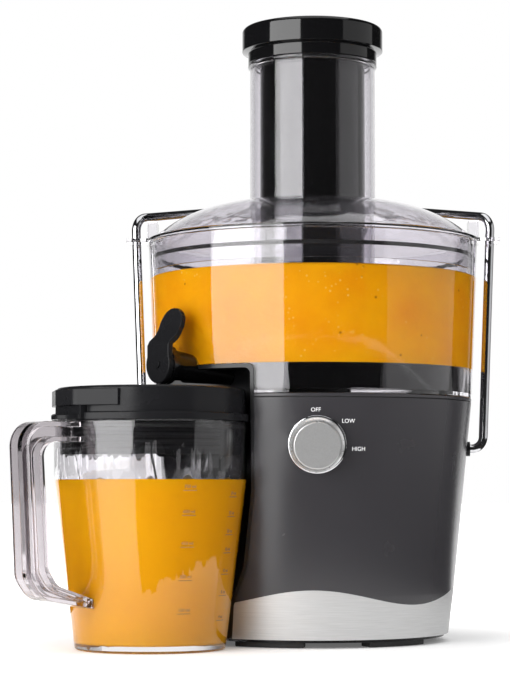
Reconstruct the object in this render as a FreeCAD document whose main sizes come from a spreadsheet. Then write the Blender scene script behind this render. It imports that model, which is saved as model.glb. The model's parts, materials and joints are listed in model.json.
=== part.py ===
import FreeCAD, Part
import math
import os

import Sketcher
from FreeCAD import Placement, Rotation, Vector

# A centrifugal juicer with its jug.  Everything is in millimetres, +Z up.  The origin is on
# the table at the centre of the whole footprint, +X to the right and -Y to the front.
# Most pieces are modelled about the motor axis or the jug axis and then placed.

SIZES = {
    # motor axis in the object's frame, and the jug beside it (angle from +X about +Z)
    "axis_x": 29.7,
    "axis_y": 25.9,
    "jug_reach": 134.9,
    "jug_angle": 221.5,
    # base
    "foot_top": 5.0,
    "foot_radius": 84.0,
    "foot_width": 13.0,
    "foot_sweep": 32.0,
    "base_low_radius": 88.5,
    "base_knee_radius": 92.0,
    "base_knee": 32.0,
    "base_top_radius": 104.5,
    "base_top": 155.2,
    "base_wall": 2.6,
    "plate_thickness": 2.6,
    "band_middle": 31.0,
    "band_wave": 5.0,
    "band_skin": 1.6,
    "deck_low": 150.0,
    "deck_plate": 3.0,
    "deck_ring_low": 155.8,
    "deck_ring_top": 157.8,
    # bay that the jug stands in
    "bay_foot_radius": 50.5,
    "bay_low_bend": 26.0,
    "bay_middle_radius": 57.8,
    "bay_middle_bend": 50.0,
    "bay_radius": 62.6,
    "bay_high_bend": 98.0,
    "bay_ceiling": 174.0,
    "bay_wall": 2.4,
    "bay_gap": 0.3,
    # dial
    "dial_offset": 2.5,
    "dial_height": 126.0,
    "dial_radius": 17.0,
    "dial_face_radius": 14.6,
    "dial_depth": 12.0,
    "bezel_radius": 18.2,
    # bail
    "bail_height": 125.0,
    "bail_half_low": 112.2,
    "bail_half_top": 118.2,
    "bail_rod": 3.0,
    "bail_corner": 279.0,
    "bail_back": 70.0,
    "bail_top": 293.0,
    "bush_radius": 4.8,
    "bush_bore": 3.08,
    # motor
    "shaft_radius": 4.0,
    "shaft_low": 20.0,
    "shaft_top": 166.0,
    "stator_radius": 44.0,
    "stator_bore": 26.4,
    "stator_low": 60.0,
    "stator_top": 100.0,
    "armature_radius": 25.8,
    "bearing_radius": 11.0,
    # bowl, collector and sieve
    "bowl_low": 158.2,
    "bowl_top": 260.4,
    "bowl_low_radius": 104.9,
    "bowl_top_radius": 109.2,
    "bowl_wall": 2.6,
    "pulp_floor": 177.0,
    "juice_wall_radius": 66.4,
    "juice_wall_top": 232.0,
    "spout_reach": 125.5,
    "spout_height": 176.5,
    "spout_radius": 11.0,
    "spout_root_radius": 5.6,
    "sieve_low_radius": 33.0,
    "sieve_top_radius": 60.5,
    "sieve_low": 186.0,
    "sieve_top": 231.0,
    "sieve_wall": 0.8,
    # feed lid, chute and pusher
    "lid_rim_radius": 110.5,
    "lid_rim_low": 260.6,
    "lid_rim_top": 263.0,
    "lid_crown": 288.0,
    "lid_wall": 2.2,
    "dome_bend": 100.0,
    "chute_radius": 41.8,
    "chute_wall": 3.0,
    "chute_low": 238.5,
    "chute_top": 381.6,
    "pusher_radius": 35.0,
    "pusher_low": 240.0,
    "cap_low": 382.0,
    "cap_step": 389.4,
    "cap_top": 407.4,
    "cap_radius": 47.0,
    "cap_collar_radius": 43.0,
    # jug
    "jug_low_radius": 46.75,
    "jug_knee_radius": 59.75,
    "jug_knee": 106.0,
    "jug_top_radius": 60.6,
    "jug_top": 140.0,
    "jug_wall": 2.4,
    "jug_floor": 4.4,
    "handle_reach": 100.0,
    "handle_lean": 5.0,
    "handle_depth": 12.0,
    "handle_width": 18.0,
    "handle_top": 139.0,
    "handle_rib": 3.0,
    "jug_lid_radius": 58.8,
    "jug_lid_top": 161.0,
    "jug_lid_lip_radius": 61.6,
    "jug_lid_plug_radius": 56.6,
    "jug_lid_plug_low": 119.5,
    "ledge_low": 149.0,
    "ledge_top": 158.8,
    "ledge_reach": 65.8,
}

PARTS_FOLDER = "parts"
WAVES = 4
GLAND_HEIGHT = 44.0

doc = FreeCAD.newDocument("juicer")
sheet = doc.addObject("Spreadsheet::Sheet", "sizes")
for row, (alias, amount) in enumerate(SIZES.items(), 1):
    sheet.set(f"A{row}", alias)
    sheet.set(f"B{row}", str(amount))
    sheet.setAlias(f"B{row}", alias)
doc.recompute()


# ------------------------------------------------------------------ sizes that know their cell
class Size:
    """A length or an angle: its number, and the sheet expression that gives it."""

    def __init__(self, value, text):
        self.value = value
        self.text = text

    def __add__(self, other):
        other = as_size(other)
        return Size(self.value + other.value, f"({self.text} + {other.text})")

    def __sub__(self, other):
        other = as_size(other)
        return Size(self.value - other.value, f"({self.text} - {other.text})")

    def __rsub__(self, other):
        return as_size(other) - self

    def __mul__(self, other):
        other = as_size(other)
        return Size(self.value * other.value, f"({self.text} * {other.text})")

    def __truediv__(self, other):
        other = as_size(other)
        return Size(self.value / other.value, f"({self.text} / {other.text})")

    __radd__ = __add__
    __rmul__ = __mul__


def as_size(item):
    return item if isinstance(item, Size) else Size(float(item), f"({float(item)})")


class Sheet:
    """The driving dimensions by name, read back from the sheet."""

    def __getattr__(self, alias):
        return Size(float(sheet.get(alias)), f"sizes.{alias}")


size = Sheet()
subparts = {}


def bind(item, setting, amount):
    """Set one property of an object from the sheet."""
    item.setExpression(setting, as_size(amount).text)


# ------------------------------------------------------------------ bodies from sketches
def origin_plane(body, role):
    for feature in body.Origin.OriginFeatures:
        if feature.Role == role:
            return feature
    raise ValueError(role)


def arc_through(start, end, bend):
    """An arc of radius |bend| from start to end, bulging to the left when bend is positive."""
    chord = end - start
    middle = (start + end) * 0.5
    left = Vector(-chord.y, chord.x, 0).normalize()
    rise = abs(bend) - math.sqrt(bend * bend - chord.Length ** 2 / 4)
    return Part.Arc(start, middle + left * math.copysign(rise, bend), end)


def outline_sketch(body, role, corners, name="outline"):
    """A closed sketch through (x, y) corners; a third entry bends the side that follows."""
    sketch = body.newObject("Sketcher::SketchObject", f"{body.Name}_{name}")
    sketch.AttachmentSupport = (origin_plane(body, role), [""])
    sketch.MapMode = "FlatFace"
    spots = [(as_size(corner[0]), as_size(corner[1])) for corner in corners]
    bends = [corner[2] if len(corner) > 2 else None for corner in corners]
    points = [Vector(x.value, y.value, 0) for x, y in spots]
    first_end = []
    for index, bend in enumerate(bends):
        start = points[index]
        end = points[(index + 1) % len(points)]
        if bend is None:
            sketch.addGeometry(Part.LineSegment(start, end))
            first_end.append(1)
            continue
        sketch.addGeometry(arc_through(start, end, as_size(bend).value))
        first_end.append(2 if as_size(bend).value > 0 else 1)
    limits = []
    for index in range(len(points)):
        following = (index + 1) % len(points)
        last_end = 3 - first_end[index]
        limits.append(Sketcher.Constraint(
            "Coincident", index, last_end, following, first_end[following]))
    sketch.addConstraint(limits)
    for index, (x, y) in enumerate(spots):
        for kind, amount, line in (("DistanceX", x, -2), ("DistanceY", y, -1)):
            if amount.value == 0:
                sketch.addConstraint(Sketcher.Constraint(
                    "PointOnObject", index, first_end[index], line))
                continue
            place = sketch.addConstraint(Sketcher.Constraint(
                kind, -1, 1, index, first_end[index], amount.value))
            sketch.setExpression(f"Constraints[{place}]", amount.text)
    for index, bend in enumerate(bends):
        if bend is None:
            continue
        bend = as_size(bend)
        place = sketch.addConstraint(Sketcher.Constraint("Radius", index, abs(bend.value)))
        sketch.setExpression(f"Constraints[{place}]", f"abs({bend.text})")
    return sketch


def round_rings(body, rings, radius):
    """Round the circular edges of a turned body that lie at the given (radius, height)."""
    doc.recompute()
    names = []
    for index, edge in enumerate(body.Tip.Shape.Edges, 1):
        if edge.Degenerated or not isinstance(edge.Curve, Part.Circle):
            continue
        for ring_radius, ring_height in rings:
            near = abs(edge.Curve.Radius - as_size(ring_radius).value) < 0.02
            level = abs(edge.Curve.Center.z - as_size(ring_height).value) < 0.02
            if near and level:
                names.append(f"Edge{index}")
    sharp = body.Tip
    fillet = body.newObject("PartDesign::Fillet", f"{body.Name}_round")
    fillet.Base = (sharp, names)
    fillet.Radius = radius
    body.Tip = fillet
    return body


def turned(name, corners, rings=(), radius=1.0):
    """A body turned about its own Z axis from (radius, height) corners."""
    body = doc.addObject("PartDesign::Body", name)
    sketch = outline_sketch(body, "XZ_Plane", corners)
    turn = body.newObject("PartDesign::Revolution", f"{name}_turn")
    turn.Profile = sketch
    turn.ReferenceAxis = (sketch, ["V_Axis"])
    turn.Angle = 360
    body.Tip = turn
    if rings:
        round_rings(body, rings, radius)
    return body


def padded(name, role, corners, length):
    """A body padded evenly to both sides of one of its planes."""
    body = doc.addObject("PartDesign::Body", name)
    sketch = outline_sketch(body, role, corners)
    pad = body.newObject("PartDesign::Pad", f"{name}_pad")
    pad.Profile = sketch
    pad.Midplane = True
    bind(pad, "Length", length)
    body.Tip = pad
    return body


# ------------------------------------------------------------------ solids and booleans
TO_X = Rotation(Vector(0, 1, 0), 90)
TO_BACK = Rotation(Vector(1, 0, 0), -90)


def spot(x, y, z):
    return Vector(as_size(x).value, as_size(y).value, as_size(z).value)


def cylinder(name, radius, height, at=(0, 0, 0), turn=Rotation(), sweep=360):
    item = doc.addObject("Part::Cylinder", name)
    bind(item, "Radius", radius)
    bind(item, "Height", height)
    item.Angle = sweep
    item.Placement = Placement(spot(*at), turn)
    return item


def box(name, length, width, height, at=(0, 0, 0), turn=Rotation()):
    """A box centred on its own X and Y, standing on the given point."""
    item = doc.addObject("Part::Box", name)
    bind(item, "Length", length)
    bind(item, "Width", width)
    bind(item, "Height", height)
    centre = Vector(-as_size(length).value / 2, -as_size(width).value / 2, 0)
    item.Placement = Placement(spot(*at) + turn.multVec(centre), turn)
    return item


def cut(name, base, *tools):
    for step, tool in enumerate(tools, 1):
        last = step == len(tools)
        result = doc.addObject("Part::Cut", name if last else f"{name}_less_{step}")
        result.Base = base
        result.Tool = tool
        base = result
    return base


def joined(name, *pieces):
    result = doc.addObject("Part::MultiFuse", name)
    result.Shapes = list(pieces)
    return result


def common(name, first, second):
    result = doc.addObject("Part::Common", name)
    result.Base = first
    result.Tool = second
    return result


def shaped(name, shape):
    item = doc.addObject("Part::Feature", name)
    item.Shape = shape
    return item


JUG_X = "sizes.axis_x + sizes.jug_reach * cos(sizes.jug_angle)"
JUG_Y = "sizes.axis_y + sizes.jug_reach * sin(sizes.jug_angle)"
FRAMES = {
    "motor": ("sizes.axis_x", "sizes.axis_y", "0"),
    "spout": ("sizes.axis_x", "sizes.axis_y", "sizes.jug_angle"),
    "jug": (JUG_X, JUG_Y, "sizes.jug_angle"),
}


def keep(item, frame="motor"):
    """Name a finished sub-part after its object and put it in its frame."""
    x, y, angle = FRAMES[frame]
    item.Label = item.Name
    item.Placement = Placement()
    item.setExpression(".Placement.Base.x", x)
    item.setExpression(".Placement.Base.y", y)
    item.setExpression(".Placement.Rotation.Angle", angle)
    subparts[item.Name] = item
    return item


def keep_at(item, position, rotation):
    """Name a finished sub-part that has a place of its own about the motor axis."""
    item.Label = item.Name
    item.Placement = Placement(position + motor_spot(), rotation)
    subparts[item.Name] = item
    return item


def motor_spot():
    return spot(size.axis_x, size.axis_y, 0)


def polar(angle, radius, height):
    turn = math.radians(angle)
    return Vector(radius * math.cos(turn), radius * math.sin(turn), height)


def flare(height):
    """Outer radius of the base above its knee."""
    share = (height - size.base_knee) / (size.base_top - size.base_knee)
    return size.base_knee_radius + (size.base_top_radius - size.base_knee_radius) * share


def bowl_radius(height):
    share = (height - size.bowl_low) / (size.bowl_top - size.bowl_low)
    return size.bowl_low_radius + (size.bowl_top_radius - size.bowl_low_radius) * share


def jug_radius(height):
    """Outer radius of the jug: a taper up to the knee, then nearly upright."""
    height, knee = as_size(height), size.jug_knee
    low, middle, top = size.jug_low_radius, size.jug_knee_radius, size.jug_top_radius
    if height.value <= knee.value:
        return low + (middle - low) * (height / knee)
    return middle + (top - middle) * ((height - knee) / (size.jug_top - knee))


# ------------------------------------------------------------------ the jug's bay
BAY_START = -1.0
BAY_CORNER = 4.0


def bay_solid(name, grow, top, in_spout_frame):
    """The flared space around the jug, grown by a wall or a gap."""
    foot, middle = size.bay_foot_radius + grow, size.bay_middle_radius + grow
    widest = size.bay_radius + grow
    body = turned(name, [
        (0, BAY_START), (foot, BAY_START), (foot, size.bay_low_bend),
        (middle, size.bay_middle_bend), (widest, size.bay_high_bend), (widest, top), (0, top)],
        [(widest, top)], BAY_CORNER)
    angle = 0 if in_spout_frame else size.jug_angle.value
    body.Placement.Base = polar(angle, size.jug_reach.value, 0)
    return body


bay_roof = size.bay_ceiling + size.bay_wall
bay_inside = bay_solid("bay_inside", as_size(0), size.bay_ceiling, True)
bay_outside = bay_solid("bay_outside", size.bay_wall, bay_roof, True)
bay_clear = bay_solid("bay_clear", size.bay_wall + size.bay_gap, bay_roof + size.bay_gap, True)
bay_clear_motor = bay_solid(
    "bay_clear_motor", size.bay_wall + 0.02, bay_roof + size.bay_gap, False)


# ------------------------------------------------------------------ spout cone
SPOUT_ROOT = 62.0
SPOUT_ROOT_HEIGHT = 170.8
SPOUT_WALL = 1.8


def spout_cone(name, grow, reach):
    """A cone that rises outward along +X to the round mouth of the spout."""
    root = doc.addObject("Part::Circle", f"{name}_root")
    bind(root, "Radius", size.spout_root_radius + grow)
    root.Placement = Placement(spot(SPOUT_ROOT, 0, SPOUT_ROOT_HEIGHT), TO_X)
    mouth = doc.addObject("Part::Circle", f"{name}_mouth")
    bind(mouth, "Radius", size.spout_radius + grow)
    mouth.Placement = Placement(spot(reach, 0, size.spout_height), TO_X)
    cone = doc.addObject("Part::Loft", name)
    cone.Sections = [root, mouth]
    cone.Solid = True
    cone.Ruled = True
    return cone


spout_clear = spout_cone("spout_clear", 0.4, size.spout_reach)


# ------------------------------------------------------------------ base: feet, plate, shell, band
def make_feet():
    """Four curved pads under the rim of the base."""
    middles = {"foot_front_right": -49.0, "foot_front_left": -110.0,
               "foot_rear_right": 49.0, "foot_rear_left": 131.0}
    for name, middle in middles.items():
        start = Rotation(Vector(0, 0, 1), middle - size.foot_sweep.value / 2)
        pad = cylinder(f"{name}_pad", size.foot_radius, size.foot_top, turn=start,
                       sweep=size.foot_sweep.value)
        core = cylinder(f"{name}_core", size.foot_radius - size.foot_width, size.foot_top)
        keep(cut(name, pad, core, bay_clear_motor))


def make_base_plate():
    """Bottom cover with a low rim, a ring of air slots and six screws."""
    top = size.foot_top + size.plate_thickness
    rim_low = 3.2
    below = size.foot_top.value - 2.0
    rim_in = size.foot_radius + 0.2
    rim_out = size.base_low_radius - size.base_wall - 0.3
    plate = turned("base_plate_blank", [
        (0, size.foot_top), (rim_in, size.foot_top), (rim_in, rim_low), (rim_out, rim_low),
        (rim_out, top), (0, top)])
    slots = []
    for index in range(12):
        turn = Rotation(Vector(0, 0, 1), index * 30)
        slots.append(box(f"air_slot_{index}", 16, 3, 6, turn.multVec(Vector(34, 0, below)), turn))
    screw_holes = []
    screws = []
    for index, angle in enumerate((0, 60, 120, 180, 270, 315)):
        place = polar(angle, 62, 0)
        screw_holes.append(cylinder(f"screw_hole_{index}", 2.2, 6, (place.x, place.y, below)))
        head = cylinder(f"screw_head_{index}", 3.6, 2, (place.x, place.y, below))
        shank = cylinder(f"screw_shank_{index}", 2.0, 8, (place.x, place.y, below + 1))
        screws.append(joined(f"screw_{index}", head, shank))
    keep(cut("base_plate", plate, joined("air_slots", *slots),
             joined("screw_holes", *screw_holes), bay_clear_motor))
    keep(joined("base_screws", *screws))


def wave_tool():
    """Everything above a wavy line that runs round the base."""
    rings = []
    for radius in (60.0, 130.0):
        points = []
        steps = WAVES * 12
        for index in range(steps):
            angle = 360.0 * index / steps
            lift = math.cos(math.radians(WAVES * (angle - 270)))
            height = size.band_middle.value + size.band_wave.value * lift
            points.append(polar(angle, radius, height))
        curve = Part.BSplineCurve()
        curve.interpolate(Points=points, PeriodicFlag=True)
        rings.append(Part.Wire(curve.toShape()))
    face = Part.makeRuledSurface(rings[0], rings[1])
    return shaped("wave_tool", face.extrude(Vector(0, 0, 60)))


def make_band_and_housing():
    """Silver band with a wavy top edge, let into the foot of the conical shell."""
    band_high = as_size(42.0)
    skin = size.band_skin
    band = turned("band_blank", [
        (size.base_low_radius - skin, size.foot_top), (size.base_low_radius, size.foot_top),
        (size.base_knee_radius, size.base_knee), (flare(band_high), band_high),
        (flare(band_high) - skin, band_high), (size.base_knee_radius - skin, size.base_knee)])
    whole_band = cut("whole_band", band, wave_tool())
    keep(cut("base_band", whole_band, bay_clear_motor))
    wall = size.base_wall
    shell = turned("housing_blank", [
        (size.base_low_radius, size.foot_top), (size.base_knee_radius, size.base_knee),
        (size.base_top_radius, size.base_top), (size.base_top_radius - wall, size.base_top),
        (size.base_knee_radius - wall, size.base_knee),
        (size.base_low_radius - wall, size.foot_top)])
    dial_place, dial_turn = dial_frame()
    dial_hole = cylinder("dial_hole", size.bezel_radius + 0.1, 20)
    dial_hole.Placement = Placement(dial_place + dial_turn.multVec(Vector(0, 0, -12)), dial_turn)
    bush_hole = cylinder("bush_hole", size.bush_radius + 0.02, 240,
                         (-120, 0, size.bail_height), TO_X)
    gland_hole = cylinder("gland_hole", 7.0, 20, (0, 84, GLAND_HEIGHT), TO_BACK)
    keep(cut("base_housing", shell, whole_band, bay_clear_motor, dial_hole, bush_hole,
             gland_hole))




def dial_frame():
    """Where the dial sits on the front of the cone, and the turn that points it outward."""
    height = size.dial_height
    slope = math.degrees(math.atan2(
        (size.base_top_radius - size.base_knee_radius).value,
        (size.base_top - size.base_knee).value))
    radius = flare(height).value
    across = size.dial_offset.value
    place = Vector(across, -math.sqrt(radius ** 2 - across ** 2), height.value)
    return place, Rotation(Vector(1, 0, 0), 90 + slope)


def make_deck():
    """Plate that closes the top of the base, with a collar round the drive."""
    low = size.deck_low
    plate = low + size.deck_plate
    inner = size.base_top_radius - size.base_wall - 0.6
    deck = turned("deck_blank", [
        (12, low), (inner, low), (inner, size.deck_ring_low),
        (size.base_top_radius + 0.1, size.deck_ring_low),
        (size.base_top_radius + 0.1, size.deck_ring_top), (98.5, size.deck_ring_top),
        (98.5, plate), (22.6, plate), (22.6, 163.0), (19.6, 163.0), (19.6, plate), (12, plate)])
    keep(cut("top_deck", deck, bay_clear_motor))
    gasket = turned("deck_gasket_blank", [
        (inner, size.base_top), (size.base_top_radius - 0.7, size.base_top),
        (size.base_top_radius - 0.7, size.deck_ring_low), (inner, size.deck_ring_low)])
    keep(cut("deck_gasket", gasket, bay_clear_motor))
    seal = turned("shaft_seal", [
        (size.shaft_radius + 0.06, low), (11.9, low), (11.9, plate + 1.5), (8.0, plate + 1.5),
        (8.0, plate - 0.5), (size.shaft_radius + 0.06, plate - 0.5)])
    keep(seal)


def make_bay_panel():
    """Black lining of the bay, with the roof under the bowl."""
    lining = cut("bay_lining", bay_outside, bay_inside)
    low = size.foot_top
    envelope = turned("bay_envelope", [
        (0, low), (size.base_low_radius, low), (size.base_knee_radius, size.base_knee),
        (size.base_top_radius, size.base_top), (bowl_radius(size.bowl_low), size.bowl_low),
        (bowl_radius(bay_roof), bay_roof), (0, bay_roof)])
    panel = common("bay_panel_blank", lining, envelope)
    keep(cut("jug_bay_panel", panel, spout_clear), "spout")


# ------------------------------------------------------------------ controls and fittings
def make_controls():
    """Dial on its bezel, with the switch and the circuit board behind."""
    place, turn = dial_frame()
    face = size.dial_face_radius
    rim = size.dial_radius
    knob = turned("dial_knob", [
        (0, -11), (3, -11), (3, 1.2), (rim, 1.2), (rim, 4.6), (face + 0.8, 6.6),
        (face, size.dial_depth), (0, size.dial_depth)],
        [(face, size.dial_depth)], 1.2)
    notch = box("dial_notch", 1.4, 7, 3, (0, face + 1.2, 8.6))
    keep_at(cut("control_dial", knob, notch), place, turn)
    bezel = turned("dial_bezel", [
        (3.3, -4), (size.bezel_radius, -4), (size.bezel_radius, 0.4),
        (size.bezel_radius - 0.6, 0.9), (3.3, 0.9)])
    keep_at(bezel, place, turn)
    case = box("switch_case", 28, 26, 13, (0, 0, -17.2))
    bore = cylinder("switch_bore", 3.3, 14, (0, 0, -13))
    keep_at(cut("speed_switch", case, bore), place, turn)
    board = box("board", 64, 1.6, 46, (0, -72, 56))
    capacitor = cylinder("capacitor", 6, 14, (-18, -71.2, 72), TO_BACK)
    driver = box("driver", 16, 6, 12, (14, -68.2, 64))
    keep(joined("control_board", board, capacitor, driver))


def make_bushes():
    """Plain bushes in the sides of the base, where the bail turns."""
    for name, side in (("pivot_bush_left", -1), ("pivot_bush_right", 1)):
        outer = cylinder(f"{name}_body", size.bush_radius, 6.6, (0, 0, 0), TO_X)
        flange = cylinder(f"{name}_flange", size.bush_radius + 2.0, 1.4, (-1.4, 0, 0), TO_X)
        bore = cylinder(f"{name}_bore", size.bush_bore, 14, (-4, 0, 0), TO_X)
        bush = cut(name, joined(f"{name}_blank", outer, flange), bore)
        turn = Rotation(Vector(0, 0, 1), 0 if side > 0 else 180)
        keep_at(bush, Vector(side * 97.0, 0, size.bail_height.value), turn)


def make_gland():
    """Flanged inlet at the back where a supply lead would enter."""
    inner = 4.0
    gland = turned("cord_gland", [
        (inner, -9), (6.8, -9), (6.8, 2.4), (10, 2.4), (10, 4.4), (7.2, 7.6), (inner, 7.6)])
    depth = flare(as_size(GLAND_HEIGHT)).value - 1.0
    keep_at(gland, Vector(0, depth, GLAND_HEIGHT), TO_BACK)


def make_interlock():
    """Safety switch beside the left pivot that the latched bail holds closed."""
    case = box("interlock_case", 10, 20, 12, (-88, 0, 104))
    lever = box("interlock_arm", 8, 3, 3, (-88, 4, 116))
    keep(joined("interlock_switch", case, lever))


# ------------------------------------------------------------------ motor
def ring(name, inner, outer, low, top):
    return turned(name, [(inner, low), (outer, low), (outer, top), (inner, top)])


def make_motor():
    """Series motor: frame brackets, stator, coils, brushes and the turning armature."""
    shaft = size.shaft_radius
    bearing = size.bearing_radius
    low, top = size.stator_low, size.stator_top
    keep(ring("motor_stator", size.stator_bore, size.stator_radius, low, top))
    coils = []
    for name, start, end in (("coil_low", low - 15, low), ("coil_top", top, top + 13)):
        coils.append(turned(name, [
            (30, start + 3), (32.5, start), (38.5, start), (41, start + 3), (41, end),
            (30, end)]))
    keep(joined("stator_windings", *coils))
    frame_radius = size.stator_radius + 3
    keep(turned("motor_bracket_lower", [
        (bearing, 24), (frame_radius, 24), (frame_radius, low + 6), (size.stator_radius, low + 6),
        (size.stator_radius, 27), (bearing + 3, 27), (bearing + 3, 36), (bearing, 36)]))
    keep(turned("motor_bracket_upper", [
        (bearing, 121), (bearing + 3, 121), (bearing + 3, 118), (size.stator_radius, 118),
        (size.stator_radius, top - 6), (frame_radius, top - 6), (frame_radius, 121),
        (bearing + 3, 121.01), (bearing + 3, 130), (bearing, 130)]))
    keep(ring("lower_bearing", shaft + 0.03, bearing, as_size(27), as_size(36)))
    keep(ring("upper_bearing", shaft + 0.03, bearing, as_size(121), as_size(130)))
    mounts = []
    for index in range(4):
        place = polar(45 + 90 * index, 38, 0)
        mounts.append(cylinder(f"mount_{index}", 6, 13.4, (place.x, place.y, 10.6)))
    keep(joined("motor_mounts", *mounts))
    brushes = []
    holders = []
    for index in range(2):
        turn = Rotation(Vector(0, 0, 1), 180 * index)
        centre = turn.multVec(Vector(20.2, 0, 41))
        brushes.append(box(f"brush_{index}", 13.6, 5, 8, centre, turn))
        sleeve = box(f"holder_case_{index}", 11, 9, 12, centre + Vector(0, 0, -2), turn)
        channel = box(f"holder_way_{index}", 14, 5, 8, centre, turn)
        holders.append(cut(f"holder_{index}", sleeve, channel))
    keep(joined("carbon_brushes", *brushes))
    keep(joined("brush_holders", *holders))


def make_rotor():
    """Shaft with armature, commutator, fan and the toothed drive coupling."""
    shaft = size.shaft_radius
    keep(turned("motor_shaft", [
        (0, size.shaft_low), (shaft, size.shaft_low), (shaft, size.shaft_top),
        (0, size.shaft_top)]))
    armature = ring("armature_blank", shaft, size.armature_radius, size.stator_low + 1,
                    size.stator_top - 1)
    slots = []
    for index in range(12):
        turn = Rotation(Vector(0, 0, 1), index * 30)
        centre = turn.multVec(Vector(21, 0, 58))
        slots.append(box(f"armature_slot_{index}", 12, 3.4, 46, centre, turn))
    keep(cut("motor_armature", armature, joined("armature_slots", *slots)))
    keep(ring("commutator", shaft, as_size(13), as_size(38.6), as_size(54)))
    hub = ring("fan_hub", shaft, as_size(9), as_size(134), as_size(146))
    backing = ring("fan_disc", as_size(8.5), as_size(40), as_size(134), as_size(135.4))
    blades = []
    for index in range(11):
        turn = Rotation(Vector(0, 0, 1), index * 360 / 11)
        lean = Rotation(Vector(0, 0, 1), index * 360 / 11 + 25)
        centre = turn.multVec(Vector(25.5, 0, 134.6))
        blades.append(box(f"fan_blade_{index}", 27, 1.6, 11, centre, lean))
    keep(joined("cooling_fan", hub, backing, *blades))
    core = ring("coupling_core", shaft, as_size(9), as_size(156.5), as_size(169))
    teeth = []
    for index in range(8):
        turn = Rotation(Vector(0, 0, 1), index * 45)
        centre = turn.multVec(Vector(9.4, 0, 156.5))
        teeth.append(box(f"coupling_tooth_{index}", 3.6, 3, 12.5, centre, turn))
    keep(joined("drive_coupling", core, *teeth))


# ------------------------------------------------------------------ bowl, collector and sieve
def make_bowl():
    """Clear pulp bowl, cut away round the bay and the spout."""
    wall = size.bowl_wall
    low, top = size.bowl_low, size.bowl_top
    bowl = turned("bowl_blank", [
        (88, low), (size.bowl_low_radius, low), (size.bowl_top_radius, top),
        (size.bowl_top_radius - wall, top), (size.bowl_low_radius - wall + 0.1, low + wall),
        (88, low + wall)])
    keep(cut("pulp_bowl", bowl, bay_clear, spout_clear), "spout")


def make_collector():
    """Black insert: juice gutter round the sieve, floor of the pulp space, and the spout."""
    wall = 2.4
    skirt = size.bowl_low_radius - size.bowl_wall - 0.7
    low = size.bowl_low + size.bowl_wall + 0.3
    gutter = as_size(165.0)
    outer = size.juice_wall_radius
    floor = size.pulp_floor
    insert = turned("collector_blank", [
        (24, low), (26.2, low), (26.2, gutter), (outer, gutter), (outer, floor),
        (skirt - wall, floor), (skirt - wall, low), (skirt, low), (skirt, floor + 2),
        (outer, floor + 2), (outer, size.juice_wall_top), (outer - wall, size.juice_wall_top),
        (outer - wall, gutter + wall), (26.2, gutter + wall), (26.2, 178.4), (24, 178.4)])
    clear = cut("collector_clear", insert, bay_clear)
    flange = cylinder("spout_flange", size.spout_radius + 1.4, 4,
                      (size.spout_reach - 4, 0, size.spout_height), TO_X)
    body = joined("collector_body", clear, spout_cone("spout_outer", 0, size.spout_reach), flange)
    bore = spout_cone("spout_bore", -SPOUT_WALL, size.spout_reach - 3.6)
    outlet = box("spout_outlet", 12, 11, 9, (size.spout_reach - 12, 0, 162))
    pin_hole = cylinder("spout_pin_hole", 2.58, 12, (size.spout_reach - 6, 0, size.spout_height),
                        TO_X)
    gutter_space = ring("gutter_space", as_size(40), outer - wall, gutter + wall, as_size(180))
    keep(cut("juice_collector", body, bore, outlet, pin_hole, gutter_space), "spout")


def make_lever():
    """Lever that turns the valve in the spout: a disc with a leaning thumb paddle."""
    height = size.spout_height
    back = size.spout_reach + 0.4
    side = padded("lever_side", "XZ_Plane", [
        (back, height - 12), (back + 4, height - 12), (back + 4, height + 12),
        (back + 2.4, height + 15), (back - 2.2, height + 18.8), (back - 5.4, height + 24),
        (back - 7.4, height + 30), (back - 8.4, height + 36), (back - 11.6, height + 36),
        (back - 10.6, height + 30), (back - 8.6, height + 23), (back - 5.2, height + 16.6),
        (back - 1.2, height + 13), (back, height + 12.7)], 60)
    disc = cylinder("lever_disc", 12, 60, (90, 0, height), TO_X)
    tip = cylinder("lever_tip", 11.2, 60, (90, 0, height + 24.8), TO_X)
    strap = box("lever_strap", 60, 22, 24.8, (120, 0, height))
    front = joined("lever_front", disc, tip, strap)
    blade = common("lever_blade", side, front)
    pin = cylinder("lever_pin", 2.5, 7, (back - 6, 0, height), TO_X)
    keep(joined("spout_lever", blade, pin), "spout")
    screw = cylinder("lever_screw", 2.6, 1.0)
    turn = Rotation(Vector(0, 0, 1), size.jug_angle.value)
    keep_at(screw, turn.multVec(spot(back + 4, 0, height)), turn * TO_X)


def make_sieve():
    """Steel sieve cone on a plastic hub, with the toothed cutting disc inside."""
    low, top = size.sieve_low, size.sieve_top
    small, large = size.sieve_low_radius, size.sieve_top_radius
    thick = size.sieve_wall
    keep(turned("sieve_basket", [
        (small, low), (small + thick, low), (large + thick, top), (66.5, top + 2.4),
        (66.5, top + 4), (large, top + 4), (large, top)]))
    keep(turned("sieve_hub", [
        (11.3, 160), (16, 160), (16, 180), (28.4, 180), (28.4, 171), (30.4, 171),
        (30.4, 182), (small + thick, 183), (small + thick, low), (0, low), (0, 170), (11.3, 170)]))
    disc = ring("blade_disc", as_size(4), small - 1, low, low + 1.2)
    teeth = []
    for circle, count in ((10, 8), (17, 12), (24, 16), (30, 20)):
        for index in range(count):
            turn = Rotation(Vector(0, 0, 1), index * 360 / count + circle * 7)
            centre = turn.multVec(Vector(circle, 0, low.value + 1))
            teeth.append(box(f"tooth_{circle}_{index}", 1.0, 2.4, 2.2, centre, turn))
    keep(joined("grater_blade", disc, *teeth))
    keep(turned("blade_nut", [
        (0, low), (3.9, low), (3.9, low + 4), (2.4, low + 5.2), (0, low + 5.2)]))


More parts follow.
